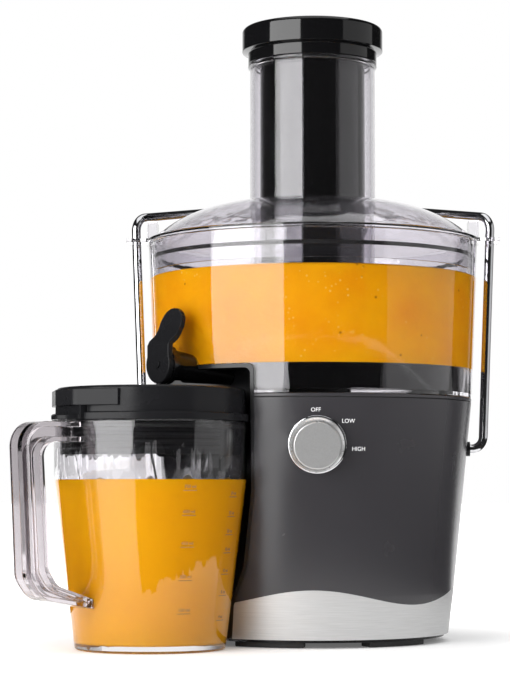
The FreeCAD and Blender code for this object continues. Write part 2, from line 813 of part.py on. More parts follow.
# ------------------------------------------------------------------ feed lid, chute and pusher
def make_lid():
    """Clear domed lid with a rim, a skirt in the bowl, side brackets and stop tabs."""
    wall = size.lid_wall
    rim_low, rim_top = size.lid_rim_low, size.lid_rim_top
    skirt_low = rim_low - 18.6
    neck = size.chute_radius
    crown = size.lid_crown
    lid = turned("lid_dome", [
        (neck, crown), (neck, crown - wall, size.dome_bend), (103.1, rim_top - 0.6),
        (103.1, skirt_low), (105.3, skirt_low), (105.3, rim_low),
        (size.lid_rim_radius, rim_low), (size.lid_rim_radius, rim_top),
        (108.0, rim_top, size.dome_bend * -1.0)])
    pieces = [lid]
    for side in (-1, 1):
        across = side * (neck.value + 64.8)
        pieces.append(box(f"lid_bracket_{side + 1}", 6.4, 20, 13.6, (across, 0, rim_top - 0.4)))
        tab = box(f"lid_tab_{side + 1}", 18.5, 20, 2.4, (side * 113.2, -13.6, rim_low))
        pieces.append(tab)
    keep(joined("feed_lid", *pieces))


def make_lid_seal():
    keep(turned("lid_seal", [
        (105.3, 250), (106.0, 250.4), (106.0, 252.2), (105.3, 252.6)]))


def make_chute():
    """Clear feed chute that carries on under the lid to just above the sieve."""
    wall = size.chute_wall
    outer = size.chute_radius
    keep(turned("feed_chute", [
        (outer - wall, size.chute_low), (outer, size.chute_low), (outer, size.chute_top - 2.5),
        (outer + 1.2, size.chute_top - 2), (outer + 1.2, size.chute_top),
        (outer - wall, size.chute_top)]))


def make_pusher():
    """Hollow food pusher with a bevelled foot, closed by its wide cap."""
    outer = size.pusher_radius
    low = size.pusher_low
    keep(turned("pusher_body", [
        (0, low), (outer - 3, low), (outer, low + 3), (outer, size.cap_low + 1),
        (outer - 2.6, size.cap_low + 1), (outer - 2.6, low + 4), (outer - 4, low + 3),
        (0, low + 3)]))
    collar = size.cap_collar_radius
    rim = size.cap_radius
    step, top = size.cap_step, size.cap_top
    keep(turned("pusher_cap", [
        (outer - 2.6, size.cap_low + 1), (outer + 0.4, size.cap_low + 1), (outer + 0.4, size.cap_low),
        (collar, size.cap_low), (collar, step), (rim, step + 1), (rim, top - 1.4, -700.0),
        (0, top), (0, top - 3), (outer - 2.6, top - 3)],
        [(rim, top - 1.4)], 3.0))


# ------------------------------------------------------------------ runs joined by tangent arcs
def rounded_edges(points, radii, closed=False):
    """Straight edges through the points, with an arc of the given radius at each corner."""
    count = len(points)
    corners = range(count) if closed else range(1, count - 1)
    entry = list(points)
    leave = list(points)
    arcs = {}
    for index in corners:
        radius = radii[index]
        if radius == 0:
            continue
        corner = points[index]
        back = (points[index - 1] - corner).normalize()
        ahead = (points[(index + 1) % count] - corner).normalize()
        half = back.getAngle(ahead) / 2
        entry[index] = corner + back * (radius / math.tan(half))
        leave[index] = corner + ahead * (radius / math.tan(half))
        middle = corner + (back + ahead).normalize() * (radius / math.sin(half) - radius)
        arcs[index] = Part.Arc(entry[index], middle, leave[index]).toShape()
    edges = []
    for index in range(count):
        if index in arcs:
            edges.append(arcs[index])
        if closed or index < count - 1:
            following = (index + 1) % count
            edges.append(Part.makeLine(leave[index], entry[following]))
    return edges


def make_bail():
    """Sprung wire bail: two legs from the side pivots and a bar bowed behind the chute."""
    narrow, wide, level = size.bail_half_low, size.bail_half_top, size.bail_height
    corner, back, top = size.bail_corner, size.bail_back, size.bail_top
    left = [spot(-98.0, 0, level), spot(-1 * narrow, 0, level), spot(-1 * wide, 0, corner),
            spot(-57, back, top)]
    points = left + [Vector(-point.x, point.y, point.z) for point in reversed(left)]
    radii = [0, 8, 10, 50, 50, 10, 8, 0]
    path = Part.Wire(rounded_edges(points, radii))
    section = Part.Wire(Part.makeCircle(size.bail_rod.value, points[0], Vector(1, 0, 0)))
    keep(shaped("bail_rod", path.makePipeShell([section], True, True)))


# ------------------------------------------------------------------ jug
def make_jug():
    """Clear tapered jug on a foot ring."""
    wall, floor, top = size.jug_wall, size.jug_floor, size.jug_top
    low = size.jug_low_radius
    keep(turned("jug_body", [
        (0, 1.4), (low - 4.2, 1.4), (low - 3, 0), (low - 0.8, 0), (jug_radius(1.2), 1.2),
        (size.jug_knee_radius, size.jug_knee), (jug_radius(top), top),
        (jug_radius(top) - wall, top), (size.jug_knee_radius - wall, size.jug_knee),
        (jug_radius(floor) - wall, floor), (0, floor)],
        [(jug_radius(floor) - wall, floor)], 2.0), "jug")


def handle_corners():
    """Outline of the handle in the upright plane: (reach from the jug axis, height, radius)."""
    reach, top, depth = size.handle_reach, size.handle_top, size.handle_depth
    inside = reach - depth - 1
    lean = size.handle_lean
    return [
        (54, top, 0), (reach, top, 15), (reach - lean, 45, 12), (reach - lean - 9, 33, 16),
        (44, 25.6, 0), (44, 30.4, 0), (inside - lean - 6, 41, 10), (inside - lean, 50, 8),
        (inside, top - depth, 9), (54, top - depth, 0)]


def make_handle():
    """Clear loop handle with a channelled section, its ends on the jug's cone."""
    corners = handle_corners()
    half = size.handle_width.value / 2
    points = [spot(x, 0, z) for x, z, radius in corners]
    face = Part.Face(Part.Wire(rounded_edges(points, [corner[2] for corner in corners], True)))
    solid = face.copy()
    solid.translate(Vector(0, -half, 0))
    solid = solid.extrude(Vector(0, 2 * half, 0))
    inner = face.makeOffset2D(-size.handle_rib.value)
    web = 2.0
    for side in (-1, 1):
        pocket = inner.copy()
        pocket.translate(Vector(0, side * web, 0))
        solid = solid.cut(pocket.extrude(Vector(0, side * half, 0)))
    knee, top = size.jug_knee.value, size.jug_top.value
    lower = Part.makeCone(jug_radius(0).value, jug_radius(knee).value, knee)
    upper = Part.makeCone(
        jug_radius(knee).value, jug_radius(top).value, top - knee, Vector(0, 0, knee))
    keep(shaped("jug_handle", solid.cut(lower).cut(upper)), "jug")


def make_jug_lid():
    """Lid with a ribbed plug, a thumb ledge over the handle, and the juice inlet."""
    top, wall_radius = size.jug_lid_top, size.jug_lid_radius
    lip, rest = size.jug_lid_lip_radius, size.jug_top + 0.4
    plug, low = size.jug_lid_plug_radius, size.jug_lid_plug_low
    shell_wall = 2.5
    ribs = []
    for height in (131.0, 127.0, 123.0):
        ribs += [(plug, height + 2), (plug + 0.4, height + 1.7), (plug + 0.4, height + 0.3),
                 (plug, height)]
    shell = turned("jug_lid_shell", [
        (0, top), (wall_radius, top), (wall_radius + 0.6, rest + 4.6), (lip, rest + 4.2),
        (lip, rest), (plug, rest), *ribs, (plug, low), (plug - 2, low),
        (plug - 2, top - shell_wall), (0, top - shell_wall)], [(wall_radius, top)], 2.0)
    reach, tall = size.ledge_reach, size.ledge_top - size.ledge_low
    ledge = padded("jug_lid_ledge", "XY_Plane", [
        (46, -32.5), (51, -34.4), (reach - 2.6, -13.3, -10.8), (reach, -6.3),
        (reach, 6.3, -10.8), (reach - 2.6, 13.3), (51, 34.4), (46, 32.5)], tall)
    ledge.Placement.Base.z = (size.ledge_low + tall / 2).value
    latch_block = box("jug_lid_latch_block", 10, 26, size.ledge_low - rest + 0.5, (58.2, 0, rest))
    tab_end = cylinder("jug_lid_tab_end", 11, 2.6, (62, 0, rest))
    hollow = cylinder("jug_lid_hollow", plug - 2, top - shell_wall - 110, (0, 0, 110))
    added = cut("jug_lid_added", joined("jug_lid_extras", ledge, latch_block, tab_end), hollow)
    inlet = cylinder("jug_lid_inlet", 12, 20, (-18, 0, 150))
    keep(cut("jug_lid", joined("jug_lid_whole", shell, added), inlet), "jug")
    keep(turned("jug_lid_seal", [
        (plug, 135.4), (plug + 1.2, 136.2), (plug + 1.2, 137.4), (plug, 138.4)]), "jug")


def make_separator():
    """Clear plate hung from the jug lid that holds back the froth."""
    lean = Rotation(Vector(0, 1, 0), 14)
    plate = box("separator_plate", 1.8, 80, 118, (10, 0, 40), lean)
    room = turned("separator_room", [
        (0, 10), (jug_radius(10) - 4, 10), (jug_radius(118) - 4, 118), (50.5, 119), (50.5, 160.4),
        (0, 160.4)])
    keep(common("froth_separator", plate, room), "jug")


# ------------------------------------------------------------------ build, check and write
def build():
    make_feet()
    make_base_plate()
    make_band_and_housing()
    make_deck()
    make_bay_panel()
    make_controls()
    make_bushes()
    make_gland()
    make_interlock()
    make_motor()
    make_rotor()
    make_bowl()
    make_collector()
    make_lever()
    make_sieve()
    make_lid()
    make_chute()
    make_lid_seal()
    make_pusher()
    make_bail()
    make_jug()
    make_handle()
    make_jug_lid()
    make_separator()
    doc.recompute()


def check():
    faults = []
    for item in doc.Objects:
        if "Invalid" in item.State or "Error" in item.State:
            faults.append(f"{item.Name}: {item.State}")
    for name, item in subparts.items():
        shape = item.Shape
        if shape.isNull() or not shape.isValid() or not shape.Solids:
            faults.append(f"{name}: no sound solid")
    if faults:
        raise RuntimeError("; ".join(faults))


def write():
    os.makedirs(PARTS_FOLDER, exist_ok=True)
    whole = FreeCAD.BoundBox()
    for name, item in subparts.items():
        item.Shape.exportStep(f"{PARTS_FOLDER}/{name}.step")
        whole.add(item.Shape.BoundBox)
        print(f"{name}: {len(item.Shape.Solids)} solid(s), {item.Shape.Volume / 1000:.1f} cm3")
    print("box", whole)


build()
check()
write()
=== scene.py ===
import json
import math

import bmesh
import bpy
from mathutils import Matrix, Vector

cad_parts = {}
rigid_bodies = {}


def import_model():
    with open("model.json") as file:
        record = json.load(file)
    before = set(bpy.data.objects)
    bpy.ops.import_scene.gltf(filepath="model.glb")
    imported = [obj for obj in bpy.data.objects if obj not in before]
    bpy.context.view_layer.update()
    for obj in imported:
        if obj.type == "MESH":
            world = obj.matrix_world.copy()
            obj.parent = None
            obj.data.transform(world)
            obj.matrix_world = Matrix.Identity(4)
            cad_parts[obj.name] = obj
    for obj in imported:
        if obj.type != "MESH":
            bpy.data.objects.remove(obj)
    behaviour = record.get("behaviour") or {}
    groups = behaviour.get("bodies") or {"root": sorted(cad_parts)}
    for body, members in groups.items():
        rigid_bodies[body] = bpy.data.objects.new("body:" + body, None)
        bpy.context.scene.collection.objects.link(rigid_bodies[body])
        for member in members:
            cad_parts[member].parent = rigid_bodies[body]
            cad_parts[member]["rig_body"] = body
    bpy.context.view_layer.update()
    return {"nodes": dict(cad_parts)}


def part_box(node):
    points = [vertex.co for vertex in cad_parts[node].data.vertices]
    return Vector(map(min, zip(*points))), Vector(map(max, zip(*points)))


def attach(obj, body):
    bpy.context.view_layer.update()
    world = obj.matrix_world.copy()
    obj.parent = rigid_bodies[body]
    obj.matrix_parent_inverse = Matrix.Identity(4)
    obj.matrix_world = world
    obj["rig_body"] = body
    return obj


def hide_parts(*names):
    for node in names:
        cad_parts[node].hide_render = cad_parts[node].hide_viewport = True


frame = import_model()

# A centrifugal juicer beside its jug, in metres.  The CAD nodes give every place.  Most visible
# nodes are made again here with rounded edges, and the jug and the bowl are filled.

MM = 0.001


# ------------------------------------------------------------------ places, from the frame
def middle(node):
    low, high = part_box(node)
    return [(low[axis] + high[axis]) / 2 for axis in range(3)]


def foot_of(node):
    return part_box(node)[0][2]


MOTOR = Vector((middle("sieve_basket")[0], middle("sieve_basket")[1], 0))
JUG = Vector((middle("jug_body")[0], middle("jug_body")[1], 0))

# Walls that widen upward: the base above its knee, the bowl and the jug.
BASE_KNEE = 32 * MM
BASE_KNEE_RADIUS = 92 * MM
BASE_SPREAD = 12.5 / 123.2
BOWL_INSIDE = 102.55 * MM
BOWL_SPREAD = 4.3 / 102.2
JUG_FOOT_RADIUS = 46.75 * MM
JUG_SPREAD = 13.0 / 106


def base_outside(height):
    return BASE_KNEE_RADIUS + BASE_SPREAD * (height - BASE_KNEE)


def jug_outside(height):
    return JUG_FOOT_RADIUS + JUG_SPREAD * height


# ------------------------------------------------------------------ camera
EYE_DISTANCE = 1450 * MM
EYE_HEIGHT = 98 * MM
LOOK_LEFT = 0.026539
LOOK_UP = 0.068636


def make_camera():
    """Eye a little below the dial and straight before the motor, looking slightly left and up."""
    eye = Vector((MOTOR.x, MOTOR.y - EYE_DISTANCE, EYE_HEIGHT))
    aim = Vector((-LOOK_LEFT, 1, LOOK_UP))
    data = bpy.data.cameras.new("camera")
    data.lens = 115.7
    data.sensor_fit = "VERTICAL"
    data.sensor_height = 36.0
    data.clip_end = 50
    camera = bpy.data.objects.new("camera", data)
    camera.location = eye
    camera.rotation_euler = aim.to_track_quat("-Z", "Y").to_euler()
    bpy.context.scene.collection.objects.link(camera)
    bpy.context.scene.camera = camera


# ------------------------------------------------------------------ materials
class Shader:
    """A Principled material and short ways to add its patterns."""

    def __init__(self, name):
        self.material = bpy.data.materials.new(name)
        self.material.use_nodes = True
        self.nodes = self.material.node_tree.nodes
        self.links = self.material.node_tree.links
        self.main = self.nodes["Principled BSDF"]

    def put(self, kind, **inputs):
        node = self.nodes.new(kind)
        for socket, value in inputs.items():
            node.inputs[socket.replace("_", " ")].default_value = value
        return node

    def link(self, source, target):
        self.links.new(source, target)

    def setup(self, **values):
        for socket, value in values.items():
            self.main.inputs[socket.replace("_", " ")].default_value = value

    def place(self):
        return self.put("ShaderNodeTexCoord").outputs["Object"]

    def stretched(self, scale):
        mapping = self.put("ShaderNodeMapping")
        mapping.inputs["Scale"].default_value = scale
        self.link(self.place(), mapping.inputs["Vector"])
        return mapping.outputs["Vector"]

    def noise(self, scale, detail=3.0, vector=None):
        node = self.put("ShaderNodeTexNoise", Scale=scale, Detail=detail)
        self.link(vector or self.place(), node.inputs["Vector"])
        return node.outputs["Fac"]

    def span(self, source, low, high, start=0.35, end=0.65):
        """Spread a pattern over a range of values."""
        node = self.put("ShaderNodeMapRange")
        for socket, value in (("From Min", start), ("From Max", end), ("To Min", low),
                              ("To Max", high)):
            node.inputs[socket].default_value = value
        self.link(source, node.inputs["Value"])
        return node.outputs["Result"]

    def mix(self, amount, first, second):
        """Blend two colours or colour outputs by a pattern."""
        node = self.put("ShaderNodeMix")
        node.data_type = "RGBA"
        self.link(amount, node.inputs[0])
        for socket, value in ((6, first), (7, second)):
            if isinstance(value, tuple):
                node.inputs[socket].default_value = (*value, 1)
            else:
                self.link(value, node.inputs[socket])
        return node.outputs[2]

    def bump(self, *layers):
        """Layers of (pattern, depth in metres) pressed into the surface."""
        last = None
        for source, depth in layers:
            node = self.put("ShaderNodeBump", Strength=1.0, Distance=depth)
            self.link(source, node.inputs["Height"])
            if last:
                self.link(last, node.inputs["Normal"])
            last = node.outputs["Normal"]
        self.link(last, self.main.inputs["Normal"])

    def colour(self, source):
        self.link(source, self.main.inputs["Base Color"])

    def rough(self, source):
        self.link(source, self.main.inputs["Roughness"])


def moulded(name, colour, roughness, spread=0.05, grain=900, depth=6e-6, shift=0.06, **extra):
    """Moulded plastic: faint mottling, uneven gloss and a fine grain."""
    shader = Shader(name)
    shader.setup(IOR=1.5, **extra)
    darker = tuple(part * (1 - shift) for part in colour)
    lighter = tuple(min(1.0, part * (1 + shift)) for part in colour)
    shader.colour(shader.mix(shader.span(shader.noise(14), 0, 1, 0.2, 0.8), darker, lighter))
    shader.rough(shader.span(shader.noise(45, 4), roughness - spread, roughness + spread,
                             0.2, 0.8))
    shader.bump((shader.noise(grain, 2), depth))
    return shader.material


def clear_plastic(name, colour, roughness=0.03):
    """Clear smoky plastic with a faintly uneven, polished surface."""
    shader = Shader(name)
    shader.setup(IOR=1.49, Transmission_Weight=1.0, Base_Color=(*colour, 1))
    shader.rough(shader.span(shader.noise(30, 3), roughness * 0.5, roughness * 1.6))
    shader.bump((shader.noise(22, 2), 3e-5))
    return shader.material


def metal(name, colour, roughness, spread=0.04, grain=300, depth=2e-6, stretch=(1, 1, 1),
          metallic=1.0):
    shader = Shader(name)
    shader.setup(Metallic=metallic)
    lines = shader.stretched(stretch)
    darker = tuple(part * 0.93 for part in colour)
    shader.colour(shader.mix(shader.span(shader.noise(grain, 4, lines), 0, 1), darker, colour))
    shader.rough(shader.span(shader.noise(grain * 0.7, 3, lines), roughness - spread,
                             roughness + spread))
    shader.bump((shader.noise(grain, 4, lines), depth))
    return shader.material


def pulp_material():
    """Wet orange pulp pressed against the wall, with pale and dark flecks."""
    shader = Shader("orange_pulp")
    shader.setup(IOR=1.36, Specular_IOR_Level=0.12)
    base = shader.mix(shader.span(shader.noise(38, 5), 0, 1, 0.3, 0.7),
                      (0.95, 0.40, 0.001), (1.0, 0.50, 0.002))
    flecks = shader.put("ShaderNodeTexVoronoi", Scale=260.0)
    shader.link(shader.place(), flecks.inputs["Vector"])
    pale = shader.span(flecks.outputs["Distance"], 1, 0, 0.10, 0.26)
    patches = shader.span(shader.noise(70, 2), 0, 1, 0.55, 0.64)
    both = shader.put("ShaderNodeMath")
    both.operation = "MULTIPLY"
    shader.link(pale, both.inputs[0])
    shader.link(patches, both.inputs[1])
    base = shader.mix(both.outputs[0], base, (0.98, 0.62, 0.10))
    specks = shader.put("ShaderNodeTexVoronoi", Scale=150.0, Randomness=1.0)
    shader.link(shader.place(), specks.inputs["Vector"])
    dark = shader.span(specks.outputs["Distance"], 1, 0, 0.07, 0.16)
    sparse = shader.span(shader.noise(60, 1), 0, 0.8, 0.56, 0.62)
    few = shader.put("ShaderNodeMath")
    few.operation = "MULTIPLY"
    shader.link(dark, few.inputs[0])
    shader.link(sparse, few.inputs[1])
    base = shader.mix(few.outputs[0], base, (0.40, 0.12, 0.004))
    shader.colour(base)
    shader.rough(shader.span(shader.noise(90, 3), 0.32, 0.55))
    shader.bump((shader.noise(120, 4), 4e-4), (shader.noise(420, 2), 1e-4))
    return shader.material


def juice_material():
    """Smooth opaque orange juice, a little foamy in places."""
    shader = Shader("orange_juice")
    shader.setup(IOR=1.35, Specular_IOR_Level=0.1)
    shader.colour(shader.mix(shader.span(shader.noise(9, 2), 0, 1),
                             (0.96, 0.45, 0.001), (1.0, 0.52, 0.003)))
    shader.rough(shader.span(shader.noise(40, 3), 0.28, 0.4))
    shader.bump((shader.noise(60, 2), 2e-5))
    return shader.material


def brushed_band():
    """Satin silver with fine lines that run round the base."""
    shader = Shader("satin_silver")
    shader.setup(Metallic=0.65)
    lines = shader.noise(60, 5, shader.stretched((1.0, 1.0, 60.0)))
    shader.colour(shader.mix(shader.span(lines, 0, 1), (0.50, 0.50, 0.50), (0.58, 0.58, 0.58)))
    shader.rough(shader.span(lines, 0.42, 0.50))
    shader.bump((lines, 5e-6))
    return shader.material


GREY = (0.029, 0.0275, 0.031)
SMOKE = (0.90, 0.885, 0.915)
finish = {
    "grey": moulded("grey_body_plastic", GREY, 0.26, 0.02, 1400, 4e-6, 0.04),
    "black": moulded("gloss_black_plastic", (0.003, 0.003, 0.0033), 0.07, 0.02, 500, 1e-6),
    "satin": moulded("satin_black_plastic", (0.008, 0.008, 0.009), 0.26, 0.04, 1200, 6e-6,
                     Specular_IOR_Level=0.16),
    "bay": moulded("bay_black_plastic", (0.007, 0.007, 0.008), 0.34, 0.05, 900, 6e-6),
    "rubber": moulded("black_rubber", (0.014, 0.014, 0.014), 0.7, 0.06, 1500, 1e-5),
    "clear": clear_plastic("clear_smoky_plastic", SMOKE),
    "jug": clear_plastic("clear_jug_plastic", (0.89, 0.88, 0.90)),
    "handle": clear_plastic("clear_handle_plastic", (0.48, 0.445, 0.465)),
    "chrome": metal("polished_chrome", (0.70, 0.70, 0.72), 0.07, 0.03, 200, 5e-7),
    "steel": metal("brushed_steel", (0.56, 0.56, 0.57), 0.26, 0.06, 300, 3e-6, (1, 1, 12)),
    "laminated": metal("stacked_steel", (0.3, 0.3, 0.32), 0.4, 0.08, 40, 2e-5, (1, 1, 60)),
    "copper": metal("enamelled_copper", (0.60, 0.24, 0.10), 0.3, 0.06, 60, 4e-5, (1, 1, 30)),
    "silver": metal("dial_silver", (0.50, 0.50, 0.50), 0.32, 0.03, 900, 4e-7, metallic=0.7),
    "rim": metal("bright_silver", (0.80, 0.80, 0.80), 0.30, 0.03, 900, 4e-7, metallic=0.75),
    "carbon": moulded("pressed_carbon", (0.03, 0.03, 0.032), 0.55, 0.08, 900, 1e-5),
    "board": moulded("circuit_board", (0.02, 0.12, 0.05), 0.4, 0.05, 300, 1e-5),
    "natural": moulded("natural_plastic", (0.62, 0.60, 0.54), 0.42, 0.05, 700, 8e-6),
    "print": moulded("white_print", (0.75, 0.75, 0.76), 0.45, 0.04, 900, 2e-6),
    "mark": moulded("grey_print", (0.25, 0.14, 0.06), 0.5, 0.04, 900, 2e-6),
    "pulp": pulp_material(),
    "juice": juice_material(),
    "band": brushed_band(),
}

CAD_FINISH = {
    "rubber": ("foot_front_right", "foot_front_left", "foot_rear_right", "foot_rear_left",
               "shaft_seal", "deck_gasket", "cord_gland", "motor_mounts", "lid_seal",
               "jug_lid_seal"),
    "satin": ("base_plate", "dial_bezel", "pivot_bush_left", "pivot_bush_right",
              "drive_coupling", "spout_lever", "jug_lid"),
    "black": ("jug_bay_panel", "juice_collector", "pusher_body", "pusher_cap"),
    "grey": ("base_housing", "top_deck"),
    "band": ("base_band",),
    "steel": ("base_screws", "motor_bracket_lower", "motor_bracket_upper", "lower_bearing",
              "upper_bearing", "motor_shaft", "lever_screw", "sieve_basket", "grater_blade",
              "blade_nut"),
    "laminated": ("motor_stator", "motor_armature"),
    "copper": ("stator_windings", "brush_holders", "commutator"),
    "carbon": ("carbon_brushes",),
    "board": ("control_board",),
    "natural": ("speed_switch", "interlock_switch", "cooling_fan", "sieve_hub"),
    "silver": ("control_dial",),
    "chrome": ("bail_rod",),
    "clear": ("pulp_bowl", "feed_lid", "feed_chute"),
    "jug": ("jug_body", "froth_separator"),
    "handle": ("jug_handle",),
}

for kind, nodes in CAD_FINISH.items():
    for node in nodes:
        item = frame["nodes"][node]
        for slot in item.material_slots:
            slot.link = "OBJECT"
            slot.material = finish[kind]


# ------------------------------------------------------------------ mesh helpers
SHARP_ANGLE = math.radians(32)


def new_piece(name, mesh, material, body, replaces=()):
    """Add a mesh to the scene with its finish and the body it rides on."""
    piece = bpy.data.objects.new(name, mesh)
    bpy.context.scene.collection.objects.link(piece)
    mesh.materials.clear()
    mesh.materials.append(material)
    for face in mesh.polygons:
        face.use_smooth = True
    mesh.set_sharp_from_angle(angle=SHARP_ANGLE)
    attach(piece, body)
    if replaces:
        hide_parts(*replaces)
    return piece


ARC_STEPS = 6
TURN_STEPS = 160


def rounded_outline(corners):
    """Corner points (across, up, round) with an arc in place of each rounded corner."""
    count = len(corners)
    points = []
    for index, corner in enumerate(corners):
        spot = Vector(corner[:2])
        radius = corner[2] if len(corner) > 2 else 0
        if radius == 0:
            points.append(spot)
            continue
        back = Vector(corners[index - 1][:2]) - spot
        ahead = Vector(corners[(index + 1) % count][:2]) - spot
        half = back.angle(ahead) / 2
        reach = min(radius / math.tan(half), back.length * 0.49, ahead.length * 0.49)
        radius = reach * math.tan(half)
        start = spot + back.normalized() * reach
        end = spot + ahead.normalized() * reach
        centre = spot + (back.normalized() + ahead.normalized()).normalized() * (
            radius / math.sin(half))
        first = start - centre
        last = end - centre
        sweep = first.angle_signed(last) * -1
        for step in range(ARC_STEPS + 1):
            turn = sweep * step / ARC_STEPS
            points.append(centre + Matrix.Rotation(turn, 2) @ first)
    return points


def lathe_mesh(name, corners, centre):
    """A closed solid turned about the upright line through centre."""
    outline = rounded_outline(corners)
    shape = bmesh.new()
    rings = []
    for side in range(TURN_STEPS):
        turn = 2 * math.pi * side / TURN_STEPS
        across = Vector((math.cos(turn), math.sin(turn), 0))
        rings.append([shape.verts.new(centre + across * point.x + Vector((0, 0, point.y)))
                      for point in outline])
    count = len(outline)
    for side in range(TURN_STEPS):
        near, far = rings[side], rings[(side + 1) % TURN_STEPS]
        for index in range(count):
            following = (index + 1) % count
            if outline[index].x < 1e-7 and outline[following].x < 1e-7:
                continue
            shape.faces.new((near[index], far[index], far[following], near[following]))
    bmesh.ops.remove_doubles(shape, verts=shape.verts, dist=1e-6)
    bmesh.ops.dissolve_degenerate(shape, edges=shape.edges, dist=1e-7)
    bmesh.ops.recalc_face_normals(shape, faces=shape.faces)
    mesh = bpy.data.meshes.new(name)
    shape.to_mesh(mesh)
    shape.free()
    return mesh


BODY_OF = {node: item["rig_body"] for node, item in frame["nodes"].items()}


def softened(node, material, width):
    """A finer piece in place of a CAD node: the same shape with its sharp edges rounded."""
    smallest_corner = math.radians(38)
    same_plane = math.radians(0.4)
    same_point = 2e-6
    shape = bmesh.new()
    shape.from_mesh(frame["nodes"][node].data)
    bmesh.ops.remove_doubles(shape, verts=shape.verts, dist=same_point)
    bmesh.ops.dissolve_limit(shape, angle_limit=same_plane, verts=shape.verts, edges=shape.edges)
    mesh = bpy.data.meshes.new(f"{node}_finish")
    shape.to_mesh(mesh)
    shape.free()
    piece = new_piece(f"{node}_finish", mesh, material, BODY_OF[node], replaces=(node,))
    rounding = piece.modifiers.new("rounding", "BEVEL")
    rounding.width = width
    rounding.segments = 2
    rounding.limit_method = "ANGLE"
    rounding.angle_limit = smallest_corner
    rounding.miter_outer = "MITER_ARC"
    flat = piece.modifiers.new("even_faces", "WEIGHTED_NORMAL")
    flat.mode = "FACE_AREA_WITH_ANGLE"
    flat.weight = 90
    flat.keep_sharp = True


def wrapped(name, flat, place, material, body):
    """A flat mesh laid on a curved wall: place gives the point for (across, up, off)."""
    for vertex in flat.vertices:
        vertex.co = place(*vertex.co)
    new_piece(name, flat, material, body)


CAPITAL_HEIGHT = 0.7
INK = 0.08 * MM


def letters(text, tall):
    """A flat mesh of generic lettering, centred, standing off its wall by its ink."""
    data = bpy.data.curves.new(text, "FONT")
    data.body = text
    data.size = tall / CAPITAL_HEIGHT
    data.align_x = "CENTER"
    data.align_y = "CENTER"
    data.extrude = INK / 2
    data.resolution_u = 6
    holder = bpy.data.objects.new(text, data)
    bpy.context.scene.collection.objects.link(holder)
    bpy.context.view_layer.update()
    mesh = bpy.data.meshes.new_from_object(holder)
    bpy.data.objects.remove(holder)
    bpy.data.curves.remove(data)
    return mesh


make_camera()


# ------------------------------------------------------------------ finer shells
ROUNDED = {
    "pulp_bowl": ("clear", 0.4), "feed_lid": ("clear", 0.4), "feed_chute": ("clear", 0.6),
    "jug_body": ("jug", 0.5), "jug_handle": ("handle", 0.9), "froth_separator": ("jug", 0.3),
    "pusher_cap": ("black", 0.4), "pusher_body": ("black", 0.6),
    "juice_collector": ("black", 0.4), "jug_bay_panel": ("bay", 0.5),
    "spout_lever": ("satin", 0.7), "jug_lid": ("satin", 0.5), "lever_screw": ("satin", 0.2),
    "control_dial": ("silver", 0.35), "dial_bezel": ("chrome", 0.3),
    "top_deck": ("grey", 0.3), "base_plate": ("satin", 0.4),
    "foot_front_right": ("rubber", 0.6), "foot_front_left": ("rubber", 0.6),
    "foot_rear_right": ("rubber", 0.6), "foot_rear_left": ("rubber", 0.6),
}
for node, (kind, width) in ROUNDED.items():
    softened(node, finish[kind], width * MM)


def brighten_skirt():
    """A brighter rim round the foot of the satin dial."""
    dial = bpy.data.objects["control_dial_finish"]
    low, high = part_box("dial_bezel")
    centre = (Vector(low) + Vector(high)) / 2
    face_radius = 15.3 * MM
    slope = math.atan(BASE_SPREAD)
    axis = Vector((0, math.cos(slope), math.sin(slope)))
    dial.data.materials.append(finish["rim"])
    for face in dial.data.polygons:
        arm = face.center - centre
        if (arm - axis * arm.dot(axis)).length > face_radius:
            face.material_index = 1


brighten_skirt()


# ------------------------------------------------------------------ contents
def make_pulp():
    """Pulp packed round the sieve wall, touching the clear bowl."""
    above_collector = 15.9 * MM
    deep = 62 * MM
    inner = 66.6 * MM
    slump = 12 * MM
    floor = foot_of("juice_collector") + above_collector
    top = floor + deep
    low_radius = BOWL_INSIDE + BOWL_SPREAD * (floor - foot_of("pulp_bowl"))
    top_radius = low_radius + BOWL_SPREAD * deep
    mesh = lathe_mesh("pulp", [
        (inner, floor), (low_radius, floor, 0.4 * MM), (top_radius, top, 1.5 * MM),
        (inner + slump, top - 9 * MM, 8 * MM), (inner, top - slump)], MOTOR)
    new_piece("orange_pulp", mesh, finish["pulp"], "root")


def make_juice():
    """Juice in the jug up to the highest mark."""
    wall = 2.15 * MM
    jug_floor = 4.3 * MM
    deep = 100.3 * MM
    floor = foot_of("jug_body") + jug_floor
    level = floor + deep
    mesh = lathe_mesh("juice", [
        (0, floor), (jug_outside(floor) - wall, floor, 2 * MM),
        (jug_outside(level) - wall, level, 0.3 * MM), (0, level)], JUG)
    new_piece("orange_juice", mesh, finish["juice"], "jug")


make_pulp()
make_juice()


# ------------------------------------------------------------------ lettering and marks
def on_wall(centre, angle, height, radius_at, lift):
    """Places a flat drawing on a round wall about an upright axis."""
    def place(across, up, off):
        level = height + up
        radius = radius_at(level)
        turn = angle + across / radius
        reach = radius + lift + off
        return centre + Vector((reach * math.cos(turn), reach * math.sin(turn), level))
    return place


def label_dial():
    """OFF, LOW and HIGH round the dial, for its three stops."""
    dial = Vector(middle("control_dial"))
    front = math.atan2(dial.y - MOTOR.y, dial.x - MOTOR.x)
    for text, turn, reach in (("OFF", -2, 21.6), ("LOW", 53, 24.4), ("HIGH", 95.5, 26.2)):
        angle = math.radians(turn)
        across, up = reach * MM * math.sin(angle), reach * MM * math.cos(angle)
        height = dial.z + up
        place = on_wall(MOTOR, front + across / base_outside(height), height, base_outside,
                        0.04 * MM)
        flat = letters(text, 2.5 * MM)
        wrapped(f"label_{text.lower()}", flat, place, finish["print"], "root")


